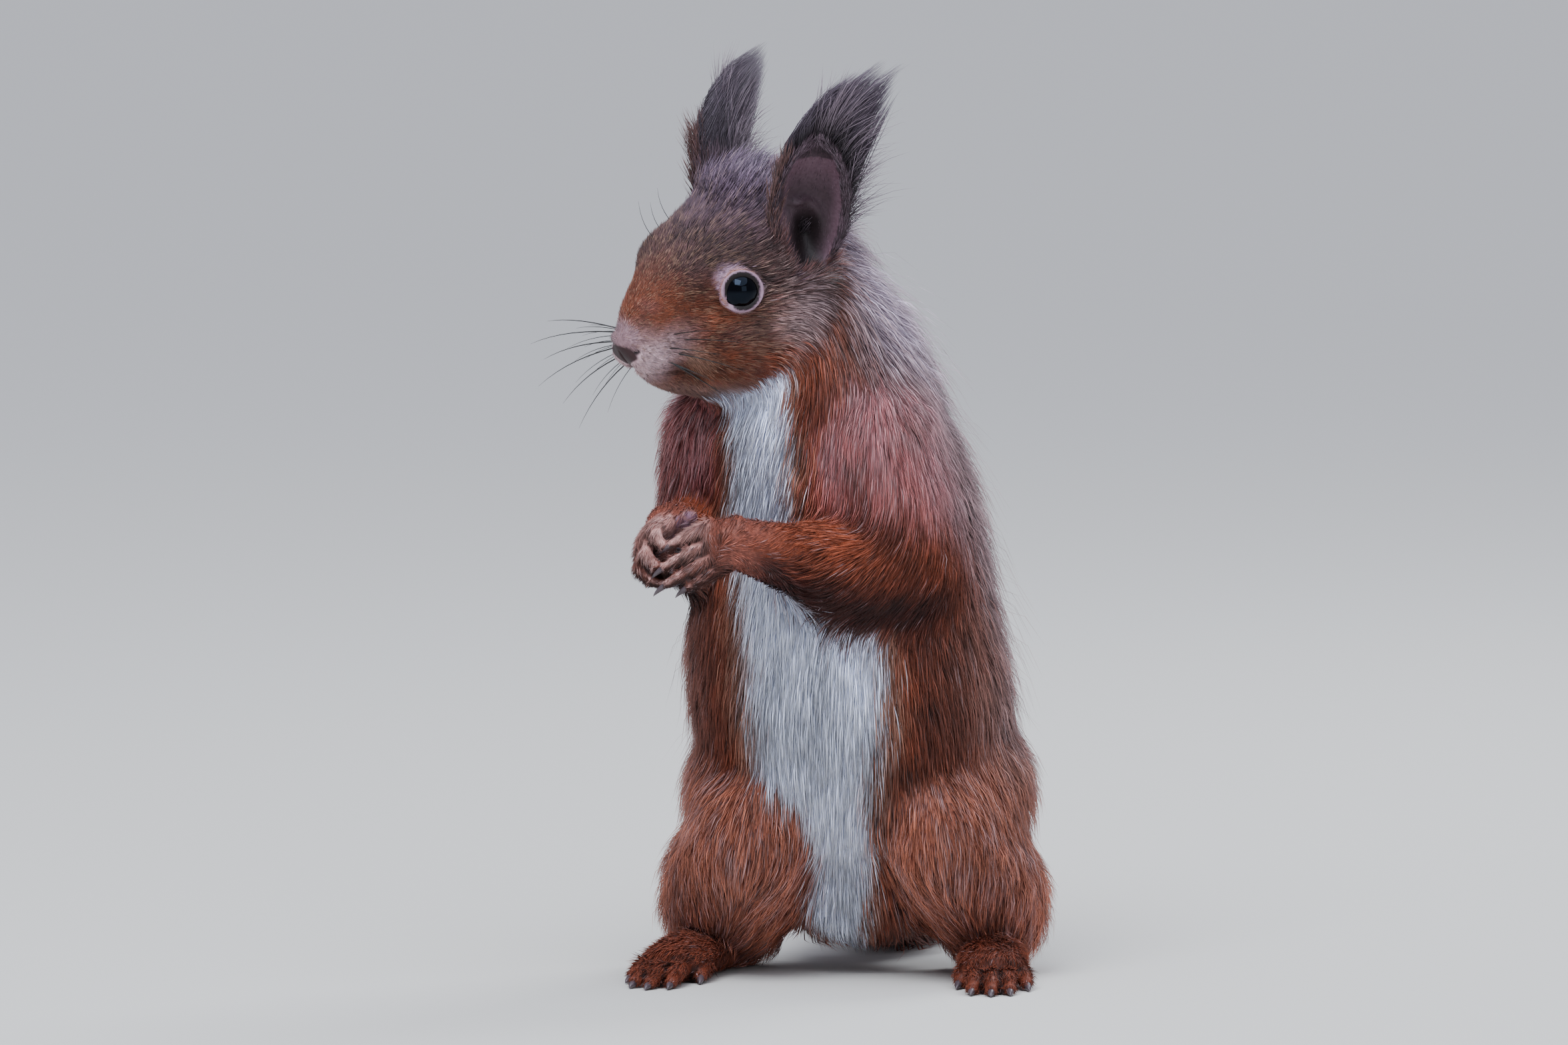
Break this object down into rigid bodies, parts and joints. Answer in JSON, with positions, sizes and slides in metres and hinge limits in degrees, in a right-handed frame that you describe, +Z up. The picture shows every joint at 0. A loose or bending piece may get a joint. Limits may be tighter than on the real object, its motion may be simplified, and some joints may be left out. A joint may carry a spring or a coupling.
{
  "type": "red squirrel",
  "caption": "Red squirrel standing upright on its hind feet, forepaws together before the chest, head turned to its right, ear tufts raised and brush laid on the floor behind.",
  "frame": {"origin": "on the floor, under the middle of the box round the whole animal", "axes": "+Z up, the hips face -Y, the tail lies towards +Y, the animal's left is +X"},
  "size_m": [0.1068, 0.2518, 0.1942],
  "materials": {
    "grey_brown_coat": "grey-brown agouti fur",
    "red_coat": "rust-red fur",
    "white_coat": "white belly fur",
    "dark_coat": "dark brown long fur",
    "eye_gloss": "wet glossy black eye"
  },
  "bodies": {
    "root": {"belly": "white_coat", "chest": "grey_brown_coat", "ear_left": "dark_coat", "ear_right": "dark_coat", "eye_left": "eye_gloss", "eye_right": "eye_gloss", "foot_left": "red_coat", "foot_right": "red_coat", "forearm_left": "red_coat", "forearm_right": "red_coat", "hand_left": "red_coat", "hand_right": "red_coat", "head": "grey_brown_coat", "neck": "grey_brown_coat", "shank_left": "red_coat", "shank_right": "red_coat", "tail_base": "dark_coat", "tail_middle": "dark_coat", "tail_tip": "dark_coat", "thigh_left": "red_coat", "thigh_right": "red_coat", "upper_arm_left": "red_coat", "upper_arm_right": "red_coat", "whisker_left_1": "dark_coat", "whisker_left_2": "dark_coat", "whisker_left_3": "dark_coat", "whisker_left_4": "dark_coat", "whisker_left_5": "dark_coat", "whisker_left_6": "dark_coat", "whisker_right_1": "dark_coat", "whisker_right_2": "dark_coat", "whisker_right_3": "dark_coat", "whisker_right_4": "dark_coat", "whisker_right_5": "dark_coat", "whisker_right_6": "dark_coat"}
  },
  "joints": []
}
